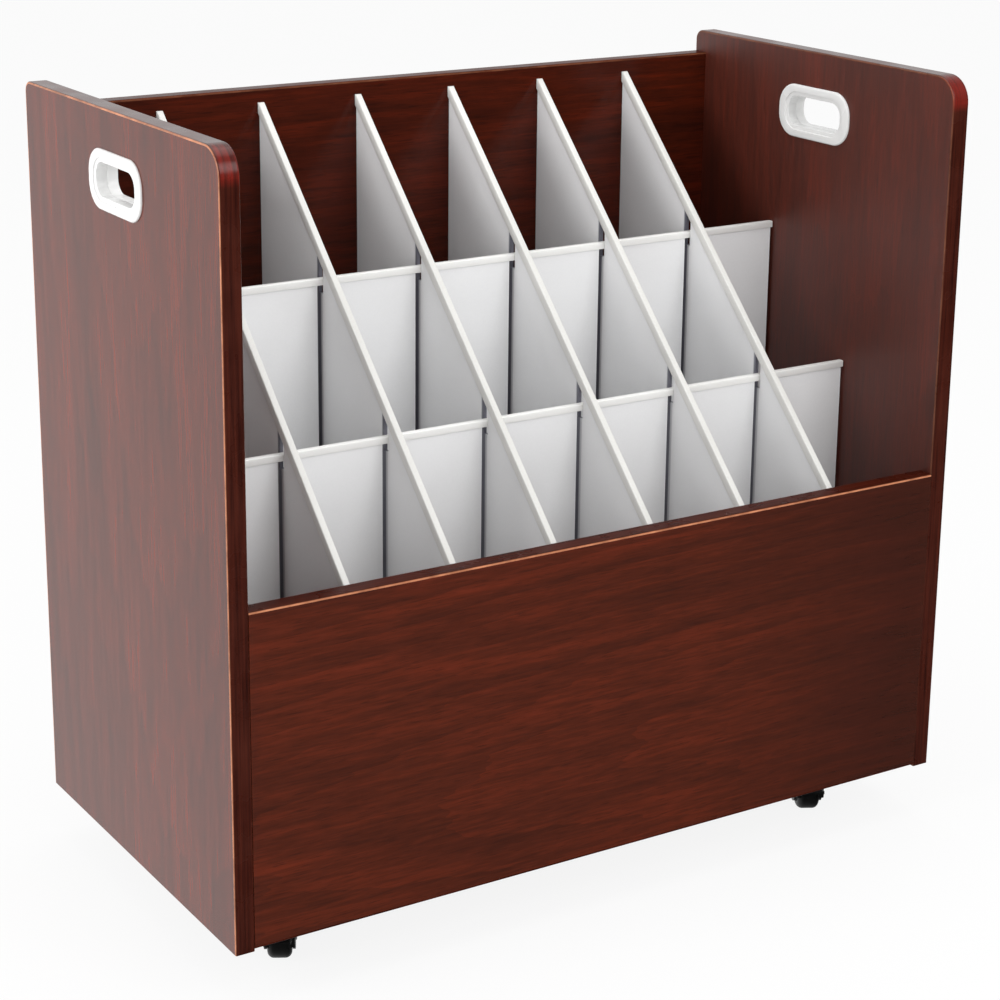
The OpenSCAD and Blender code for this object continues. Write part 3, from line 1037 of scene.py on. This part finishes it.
@dataclass
class DividerGrid:
    """The sloping dividers, the cross boards and their cap strips."""

    fitter: Fitter
    looks: Finishes
    columns: int = 7
    end: float = 0.1817
    edge_front: float = 0.350
    edge_rear: float = 0.710
    tip_z: float = 0.708
    cross_drop: float = 0.0275
    board: float = 0.0032
    fit: float = 0.00015
    wall: float = 0.0015
    lip: float = 0.0085
    cross_lip: float = 0.0065
    side_gap: float = 0.001
    rounding: float = 0.0011
    rounding_steps: int = 5
    softness: float = 0.00025
    overcut: float = 0.001
    spare: float = 0.01
    groove_reach: float = 0.03
    long_edge: float = 0.05
    near_top: float = 0.0005

    @property
    def slope(self) -> float:
        """Rise of the sloping edges over their run."""
        return (self.edge_rear - self.edge_front) / (2 * self.end)

    @property
    def inside(self) -> float:
        """Half width of a cap strip's groove."""
        return self.board / 2 + self.fit

    def edge_z(self, y: float) -> float:
        """Gives the height of the sloping edges.

        Args:
            y: The place along Y.

        Returns:
            The height.
        """
        return self.edge_front + self.slope * (y + self.end)

    def round_top(self, strip: Piece, along: int, level: Callable[[float], float]) -> None:
        """Rounds the two long top edges of a strip.

        Args:
            strip: The strip.
            along: 0 where it runs along X, 1 where it runs along Y.
            level: Gives the height of its top at a place along Y.
        """

        def is_top(a: Vector, b: Vector) -> bool:
            """Tells whether an edge is long and on the strip's top."""
            return abs(a[along] - b[along]) >= self.long_edge and a.z > level(a.y) - self.near_top

        round_edges(strip, self.rounding, self.rounding_steps, is_top)

    def sloping_cap(self) -> Piece:
        """Models one sloping cap strip over x = 0.

        Returns:
            The strip.
        """
        rise = math.hypot(1, self.slope)
        half, low = self.inside + self.wall, self.edge_front - self.lip * rise
        strip = block("sloping_cap", (-half, -self.end, low - self.spare), (half, self.end, self.tip_z))
        slice_off(strip, (0, -self.end, self.edge_front), (0, -self.slope, 1))
        slice_off(strip, (0, -self.end, low), (0, self.slope, -1))
        self.round_top(strip, 1, self.edge_z)
        reach = self.end + self.overcut
        corner = (self.inside, reach, self.tip_z - self.wall)
        groove = block("groove", (-self.inside, -reach, low - 2 * self.spare), corner)
        slice_off(groove, (0, -self.end, self.edge_front - self.wall * rise), (0, -self.slope, 1))
        combine(strip, "DIFFERENCE", groove)
        soften(strip, self.softness)
        return strip

    def level_cap(self, name: str, y: float) -> Piece:
        """Models the level cap strip of a cross board.

        Args:
            name: The strip's name.
            y: The board's place along Y.

        Returns:
            The strip.
        """
        top = self.edge_z(y) - self.cross_drop
        half, reach = self.inside + self.wall, INNER_X - self.side_gap
        strip = block(name, (-reach, y - half, top - self.cross_lip), (reach, y + half, top))
        self.round_top(strip, 0, lambda _: top)
        reach += self.overcut
        low = (-reach, y - self.inside, top - self.groove_reach)
        combine(strip, "DIFFERENCE", block("groove", low, (reach, y + self.inside, top - self.wall)))
        soften(strip, self.softness)
        return strip

    def build(self) -> None:
        """Builds the cap strips and dresses the boards."""
        first = self.sloping_cap()
        for i in range(1, self.columns):
            x = -INNER_X + i * 2 * INNER_X / self.columns
            strip = copied(first, f"sloping_cap_{i}", Matrix.Translation((x, 0, 0)))
            self.fitter.hang(strip, f"long_cap_{i}", "cabinet", "cap_strip", self.looks.strip)
            self.fitter.dress(f"long_divider_{i}", self.looks.slotted)
        bpy.data.objects.remove(first, do_unlink=True)
        for end in End:
            name = end.name.lower()
            strip = self.level_cap(f"level_cap_{name}", end.value * ROW_Y)
            self.fitter.hang(strip, f"cross_cap_{name}", "cabinet", "cap_strip", self.looks.lit_level_strip)
            self.fitter.dress(f"cross_divider_{name}", self.looks.sheet)


@dataclass
class HandHoles:
    """The white collars and sleeves of the hand holes. An outline is a length, a height and a corner radius."""

    fitter: Fitter
    looks: Finishes
    plate: Point = (0.108, 0.053, 0.023)
    hole: Point = (0.080, 0.030, 0.013)
    corner_steps: int = 14
    sleeve: float = 0.002
    sleeve_z: Span = (-0.009, 0.0008)
    rise: float = 0.0025
    crown: float = 0.0020
    crown_steps: int = 6
    ledge: float = 0.004
    ledge_depth: float = 0.0013
    cut_z: Span = (-0.02, 0.01)
    softness: float = 0.00035
    z: float = 0.681

    def tablet(self, name: str, outline: Point, margin: float, low: float, high: float) -> Piece:
        """Models a flat block with round corners, centred on Z.

        Args:
            name: The piece's name.
            outline: Its outline.
            margin: Width added to the outline all round.
            low: Its lowest z.
            high: Its highest z.

        Returns:
            The tablet.
        """
        length, height, radius = outline
        x, y, upright = length / 2 + margin, height / 2 + margin, (high - low) / 2
        piece = block(name, (-x, -y, low), (x, y, high))
        round_edges(piece, radius + margin, self.corner_steps, lambda a, b: abs(a.z - b.z) > upright)
        return piece

    def collar(self) -> Piece:
        """Models a collar on the plane z = 0 with its sleeve below.

        Returns:
            The collar.
        """
        piece = self.tablet("collar", self.plate, 0, 0, self.rise)
        round_edges(piece, self.crown, self.crown_steps, lambda a, b: min(a.z, b.z) > self.rise - NEAR)
        combine(piece, "UNION", self.tablet("sleeve", self.hole, self.sleeve, *self.sleeve_z))
        hole = self.tablet("hole", self.hole, 0, *self.cut_z)
        step = self.tablet("step", self.hole, self.ledge, self.rise - self.ledge_depth, self.cut_z[1])
        combine(piece, "DIFFERENCE", hole, step)
        soften(piece, self.softness, 3)
        return piece

    def build(self) -> None:
        """Builds the four collars."""
        first = self.collar()
        for side in Side:
            for name, x, outwards in (("outer", OUTER_X, side.value), ("inner", INNER_X, -side.value)):
                place = Matrix.Translation((side.value * x, 0, self.z)) @ turned(90 * outwards, "Y")
                label = f"{side.name.lower()}_grip_{name}"
                piece = copied(first, f"{label}_collar", place @ turned(90, "Z"))
                self.fitter.hang(piece, label, "cabinet", "grip_plastic", self.looks.grip)
        bpy.data.objects.remove(first, do_unlink=True)


@dataclass
class Casters:
    """The four hooded swivel casters, two of them with brake levers.

    The window is its depth, width and height, the toe its half width and half thickness.
    """

    fitter: Fitter
    looks: Finishes
    swivel_x: float = 0.298
    swivel_y: float = 0.113
    angle: float = 61.0
    trail: float = 0.018
    gap: float = 0.00005
    through: float = 0.06
    softness: float = 0.0003
    wheel_radius: float = 0.020
    wheel_width: float = 0.022
    tread_round: float = 0.006
    centred: float = 0.001
    side_rings: Span = (0.0012, 0.0050)
    groove: Span = (0.0065, 0.0125)
    groove_depth: float = 0.0015
    rib_inset: float = 0.0018
    rib_height: float = 0.0008
    bore_length: float = 0.05
    axle_radius: float = 0.003
    axle_overlap: float = 0.0001
    head_lip: float = 0.0018
    head_height: float = 0.0012
    head_round: float = 0.0009
    hood_radius: float = 0.0236
    hood_width: float = 0.028
    hood_inside: float = 0.0232
    hood_round: float = 0.0025
    tread_gap: float = 0.0012
    cheek_radius: float = 0.0124
    neck_radius: float = 0.011
    neck_z: Span = (0.026, 0.0507)
    pin_bottom: float = 0.0423
    pin_radius: float = 0.004
    window: Point = (0.0066, 0.017, 0.016)
    window_back: float = 0.001
    recess: Span = (0.0140, 0.0195)
    recess_depth: float = 0.0004
    recess_low: float = 0.0025
    recess_front: float = 0.0068
    ear_y: Span = (0.0092, 0.0117)
    ear_wall: float = 0.0005
    ear_root: float = 0.0015
    lever_sides: int = 32
    lever_angle: float = 158.0
    lever_radius: float = 0.0023
    lever_pivot: float = 0.0269
    lever_play: Span = (0.0006, 0.0004)
    lever_softness: float = 0.00022
    brake_travel: float = 20.0
    pedal_tilt: float = 12.0
    pedal_round: float = 0.0025
    arm: Box = ((-0.008, -0.008, -0.0015), (0, 0.008, 0.0015))
    pedal: Box = ((-0.0162, -0.011, -0.0015), (-0.0045, 0.011, 0.0011))
    ribs: int = 4
    rib_x: float = -0.0148
    rib_pitch: float = 0.0028
    rib_width: float = 0.0012
    rib_reach: float = 0.0095
    rib_z: Span = (0.0008, 0.0015)
    toe: Span = (0.0045, 0.0012)
    toe_gap: float = 0.0005

    @property
    def hub(self) -> Vector:
        """Middle of the wheel, with the rolling direction along +X."""
        return Vector((-self.trail, 0, self.wheel_radius))

    @property
    def pivot(self) -> Vector:
        """Axis of the brake lever."""
        angle = math.radians(self.lever_angle)
        return self.hub + Vector((math.cos(angle), 0, math.sin(angle))) * self.lever_pivot

    def along_y(self, name: str, radius: float, width: float, middle: Vector, sides: int) -> Piece:
        """Adds a rod along Y.

        Args:
            name: The piece's name.
            radius: Its radius.
            width: Its length.
            middle: Its middle.
            sides: Number of its flats.

        Returns:
            The rod.
        """
        step = Vector((0, width / 2, 0))
        return rod(name, radius, middle - step, middle + step, sides)

    def disc(self, name: str, radius: float, width: float, rounding: float, steps: int) -> Piece:
        """Models a disc round the hub with round rims.

        Args:
            name: The piece's name.
            radius: Its radius.
            width: Its width.
            rounding: Radius of the rims' rounding.
            steps: Number of its steps.

        Returns:
            The disc.
        """
        piece = self.along_y(name, radius, width, self.hub, 96)
        rim = width / 2 - NEAR
        round_edges(piece, rounding, steps, lambda a, b: abs(a.y) > rim and abs(a.y - b.y) < NEAR)
        return piece

    def wheel(self) -> Piece:
        """Models a wheel with a round tread, grooved sides and a moulded rib in each groove.

        Returns:
            The wheel.
        """
        piece = self.disc("wheel", self.wheel_radius, self.wheel_width, self.tread_round, 8)
        low, high = self.groove
        move = bpy.ops.mesh.extrude_region_move
        for side in (-1, 1):
            with editing(piece, "FACE"):
                pick(piece, lambda c, n: n.y * side > FACING and (c - self.hub).xz.length < self.centred, True)
                for width in self.side_rings:
                    bpy.ops.mesh.inset(thickness=width)
                pick(piece, lambda c, n: n.y * side > FACING and low < (c - self.hub).xz.length < high, True)
                move(TRANSFORM_OT_translate={"value": (0, -side * self.groove_depth, 0)})
                bpy.ops.mesh.inset(thickness=self.rib_inset)
                move(TRANSFORM_OT_translate={"value": (0, side * self.rib_height, 0)})
        bore = self.along_y("bore", self.axle_radius + self.gap, self.bore_length, self.hub, 48)
        combine(piece, "DIFFERENCE", bore)
        put_in_order(piece)
        soften(piece, self.softness)
        return piece

    def axle(self) -> Piece:
        """Models an axle with two domed heads.

        Returns:
            The axle.
        """
        radius, half = self.axle_radius, self.hood_width / 2
        piece = self.along_y("axle", radius, 2 * (half + self.axle_overlap), self.hub, 48)
        rim = half + self.head_height - self.axle_overlap
        for side in (-1, 1):
            middle = self.hub + Vector((0, side * (half + self.head_height / 2), 0))
            head = self.along_y("head", radius + self.head_lip, self.head_height, middle, 48)
            round_edges(head, self.head_round, 4, lambda a, b: min(a.y * side, b.y * side) > rim)
            combine(piece, "UNION", head)
        smooth(piece)
        return piece

    def hood(self, braked: bool) -> Piece:
        """Models a hood with its cheeks, neck and shallow side panels.

        Args:
            braked: Whether it carries ears and a window for a brake lever.

        Returns:
            The hood.
        """
        hub, width = self.hub, self.hood_width
        low, high, pin, top = ((0, 0, z) for z in (*self.neck_z, self.pin_bottom, self.through))
        piece = self.disc("hood", self.hood_radius, width, self.hood_round, 5)
        slice_off(piece, hub, (0, 0, -1))
        combine(
            piece,
            "UNION",
            self.along_y("cheeks", self.cheek_radius, width, hub, 64),
            rod("neck", self.neck_radius, low, high, 64),
            *(self.ear(side) for side in (-1, 1) if braked),
        )
        combine(
            piece,
            "DIFFERENCE",
            self.along_y("wheelhouse", self.wheel_radius + self.tread_gap, self.hood_inside, hub, 96),
            self.along_y("axle_hole", self.axle_radius + self.gap, self.through, hub, 48),
            rod("pin_hole", self.pin_radius + self.gap, pin, top, 48),
            *(self.side_recess(side) for side in (-1, 1)),
        )
        if braked:
            deep, wide, tall = self.window
            x = -self.trail - self.hood_radius - self.window_back
            z = self.wheel_radius - self.window_back
            combine(piece, "DIFFERENCE", block("window", (x, -wide / 2, z), (x + deep, wide / 2, z + tall)))
        soften(piece, self.softness)
        return piece

    def side_recess(self, side: int) -> Piece:
        """Makes the cutter for the shallow half-moon on a hood's side.

        Args:
            side: Side of the hood, as a sign along Y.

        Returns:
            The cutter.
        """
        inner, outer = self.recess
        face = self.hub + Vector((0, side * self.hood_width / 2, 0))
        piece = self.along_y("recess", outer, 2 * self.recess_depth, face, 96)
        combine(piece, "DIFFERENCE", self.along_y("boss", inner, 10 * self.recess_depth, face, 64))
        slice_off(piece, face + Vector((0, 0, self.recess_low)), (0, 0, -1))
        slice_off(piece, face + Vector((self.recess_front, 0, 0)), (1, 0, 0))
        return piece

    def ear(self, side: int) -> Piece:
        """Models an ear that holds a stub of the brake lever.

        Args:
            side: Side of the hood, as a sign along Y.

        Returns:
            The ear.
        """
        inner, outer = self.ear_y
        middle = Vector((0, side * (inner + outer) / 2, 0))
        thick, high = outer - inner, self.lever_radius + self.ear_wall
        piece = self.along_y("ear", high, thick, self.pivot + middle, self.lever_sides)
        root = self.hood_radius - self.ear_root
        arm = block("arm", (root, -thick / 2, -high), (self.lever_pivot, thick / 2, high))
        arm.data.transform(Matrix.Translation(self.hub + middle) @ turned(-self.lever_angle, "Y"))
        combine(piece, "UNION", arm)
        radius = self.lever_radius / 2 + self.gap
        hole = self.along_y("stub_hole", radius, 4 * thick, self.pivot + middle, self.lever_sides)
        combine(piece, "DIFFERENCE", hole)
        return piece

    def lever(self) -> Piece:
        """Models a brake lever: a barrel, a ribbed pedal and a toe.

        Returns:
            The lever.
        """
        barrel, stub = (2 * y - play for y, play in zip(self.ear_y, self.lever_play))
        piece = self.along_y("lever", self.lever_radius, barrel, Vector(), self.lever_sides)
        stubs = self.along_y("stubs", self.lever_radius / 2, stub, Vector(), self.lever_sides)
        pedal = block("pedal", *self.pedal)
        (tip, _, low), (_, _, high) = self.pedal
        upright = (high - low) / 2
        round_edges(pedal, self.pedal_round, 6, lambda a, b: abs(a.z - b.z) > upright and a.x < tip + NEAR)
        tilted = [block("neck", *self.arm), pedal]
        y, (low, high) = self.rib_reach, self.rib_z
        for step in range(self.ribs):
            x = self.rib_x + step * self.rib_pitch
            tilted.append(block("rib", (x, -y, low), (x + self.rib_width, y, high)))
        for part in tilted:
            part.data.transform(turned(self.pedal_tilt, "Y"))
        y, z = self.toe
        toe = block("toe", (0, -y, -z), (self.lever_pivot - self.wheel_radius - self.toe_gap, y, z))
        toe.data.transform(turned(180 + self.brake_travel - self.lever_angle, "Y"))
        combine(piece, "UNION", stubs, *tilted, toe)
        soften(piece, self.lever_softness)
        piece.data.transform(Matrix.Translation(self.pivot))
        return piece

    def build(self) -> None:
        """Builds the casters and dresses their plates and screws."""
        fitter, looks = self.fitter, self.looks
        wheel, axle, lever = self.wheel(), self.axle(), self.lever()
        hoods = {End.FRONT: self.hood(True), End.REAR: self.hood(False)}
        for end in End:
            for side in Side:
                hand = side.name.lower()
                corner = f"{end.name.lower()}_{hand}"
                swivel = f"swivel_{corner}"
                place = Matrix.Translation((side.value * self.swivel_x, end.value * self.swivel_y, 0))
                place = place @ turned(self.angle, "Z")
                hood = copied(hoods[end], f"hood_{corner}", place)
                fitter.hang(hood, f"caster_hood_{corner}", swivel, "hood_plastic", looks.hood)
                pin = copied(axle, f"axle_{corner}", place)
                fitter.hang(pin, f"caster_axle_{corner}", swivel, "zinc_steel", looks.steel)
                tyre = copied(wheel, f"wheel_{corner}_tyre", place)
                fitter.hang(tyre, f"caster_wheel_{corner}", f"wheel_{corner}", "wheel_plastic", looks.wheel)
                fitter.dress(f"caster_plate_{corner}", looks.plate)
                if end is End.FRONT:
                    brake = copied(lever, f"brake_pedal_{hand}", place)
                    fitter.hang(brake, f"brake_lever_{hand}", f"brake_{hand}", "hood_plastic", looks.hood)
        fitter.dress("caster_screws", looks.steel)
        for spare in (wheel, axle, lever, *hoods.values()):
            bpy.data.objects.remove(spare, do_unlink=True)


# The studio


@dataclass(frozen=True)
class Lamp:
    """A soft square lamp."""

    name: str
    place: Point
    size: float
    power: float
    aim: Point = (0.0, 0.0, 0.36)

    def build(self) -> None:
        """Adds the lamp, turned to its aim."""
        light = bpy.data.lights.new(self.name, "AREA")
        light.shape = "SQUARE"
        light.size = self.size
        light.energy = self.power
        lamp = bpy.data.objects.new(self.name, light)
        bpy.context.scene.collection.objects.link(lamp)
        line = Vector(self.aim) - Vector(self.place)
        lamp.matrix_world = Matrix.Translation(self.place) @ line.to_track_quat("-Z", "Y").to_matrix().to_4x4()


@dataclass
class Studio:
    """White floor, soft lamps, surroundings and camera."""

    lens: float = 87.1968
    sensor: float = 36.0
    clip: Span = (0.05, 60.0)
    shift: Span = (0.03, -0.10)
    eye: Point = (-1.17753, -1.86515, 1.07053)
    right: Point = (0.853486, -0.521072, 0.006806)
    down: Point = (-0.138171, -0.238871, -0.961171)
    ahead: Point = (0.502465, 0.819405, -0.27587)
    floor_size: float = 60.0
    floor_grey: float = 0.82
    floor_rough: float = 0.9
    floor_glow: float = 0.88
    slant: float = -0.35
    behind: Span = (-0.45, 0.75)
    behind_glow: Span = (0.04, 0.95)
    above_glow: float = 0.5
    ambient: float = 0.80
    lamps: tuple[Lamp, ...] = (
        Lamp("key", (0.45, -2.5, 2.1), 1.5, 29.0),
        Lamp("left", (-2.2, -0.2, 1.28), 1.0, 24.0),
        Lamp("top", (0.2, 0.2, 3.0), 2.0, 20.0),
    )

    def camera(self) -> None:
        """Adds the camera at the photograph's place."""
        data = bpy.data.cameras.new("camera")
        data.lens = self.lens
        data.sensor_width = self.sensor
        data.shift_x, data.shift_y = self.shift
        data.clip_start, data.clip_end = self.clip
        eye = bpy.data.objects.new("camera", data)
        bpy.context.scene.collection.objects.link(eye)
        turn = Matrix((self.right, [-v for v in self.down], [-v for v in self.ahead])).transposed().to_4x4()
        eye.matrix_world = Matrix.Translation(self.eye) @ turn
        bpy.context.scene.camera = eye

    def floor(self) -> None:
        """Adds the pale floor, which keeps a faint shadow."""
        deselect()
        bpy.ops.mesh.primitive_plane_add(size=self.floor_size, location=(0, 0, 0))
        ground = bpy.context.active_object
        ground.name = "floor"
        graph = Graph("floor_white")
        glow = graph.nodes.new("ShaderNodeEmission")
        mix = graph.nodes.new("ShaderNodeMixShader")
        seen = graph.nodes.new("ShaderNodeLightPath").outputs["Is Camera Ray"]
        for socket, value in (
            (glow.inputs["Color"], WHITE),
            (mix.inputs["Fac"], graph.calc("MULTIPLY", seen, self.floor_glow)),
            (mix.inputs[1], graph.shader.outputs["BSDF"]),
            (mix.inputs[2], glow.outputs["Emission"]),
            (graph.output.inputs["Surface"], mix.outputs["Shader"]),
        ):
            graph.plug(socket, value)
        ground.data.materials.append(graph.done((self.floor_grey,) * 3, self.floor_rough))
        ground.visible_glossy = False

    def surroundings(self) -> None:
        """Makes the world: white to the camera, grey for light, and brighter behind the object in reflections."""
        world = bpy.data.worlds.new("studio")
        bpy.context.scene.world = world
        world.use_nodes = True
        sky = Nodes(world.node_tree)
        place = sky.nodes.new("ShaderNodeTexCoord")
        split = sky.nodes.new("ShaderNodeSeparateXYZ")
        sky.plug(split.inputs[0], place.outputs["Generated"])
        x, y, z = split.outputs
        path = sky.nodes.new("ShaderNodeLightPath")
        glossy, seen = path.outputs["Is Glossy Ray"], path.outputs["Is Camera Ray"]
        sideways = sky.calc("ADD", y, sky.calc("MULTIPLY", x, self.slant))
        behind = sky.spread(sideways, self.behind, self.behind_glow, "SMOOTHSTEP")
        above = sky.calc("MULTIPLY", sky.calc("MAXIMUM", z, 0.0), self.above_glow)
        shiny = sky.calc("MULTIPLY", sky.calc("ADD", behind, above), glossy)
        plain = sky.calc("MULTIPLY", sky.calc("SUBTRACT", 1.0, glossy), self.ambient)
        level = sky.calc("MULTIPLY", sky.calc("ADD", shiny, plain), sky.calc("SUBTRACT", 1.0, seen))
        back = sky.nodes.new("ShaderNodeBackground")
        sky.plug(back.inputs["Color"], WHITE)
        sky.plug(back.inputs["Strength"], sky.calc("ADD", level, seen))
        output = sky.nodes.new("ShaderNodeOutputWorld")
        sky.plug(output.inputs["Surface"], back.outputs[0])

    def build(self) -> None:
        """Builds the camera, the floor, the lamps and the surroundings."""
        bpy.context.scene.view_settings.view_transform = "Standard"
        self.camera()
        self.floor()
        for lamp in self.lamps:
            lamp.build()
        self.surroundings()
        log.info("studio ready")


def main() -> None:
    """Builds the object's looks in order and reports each piece."""
    logging.basicConfig(level=logging.INFO, format="%(name)s: %(message)s")
    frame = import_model()
    fitter = Fitter(frame)
    finishes = Finishes()
    Studio().build()
    for part in (Carcass, DividerGrid, HandHoles, Casters):
        part(fitter, finishes).build()
    log.info("%d nodes and pieces shown", fitter.shown)


if __name__ == "__main__":
    main()
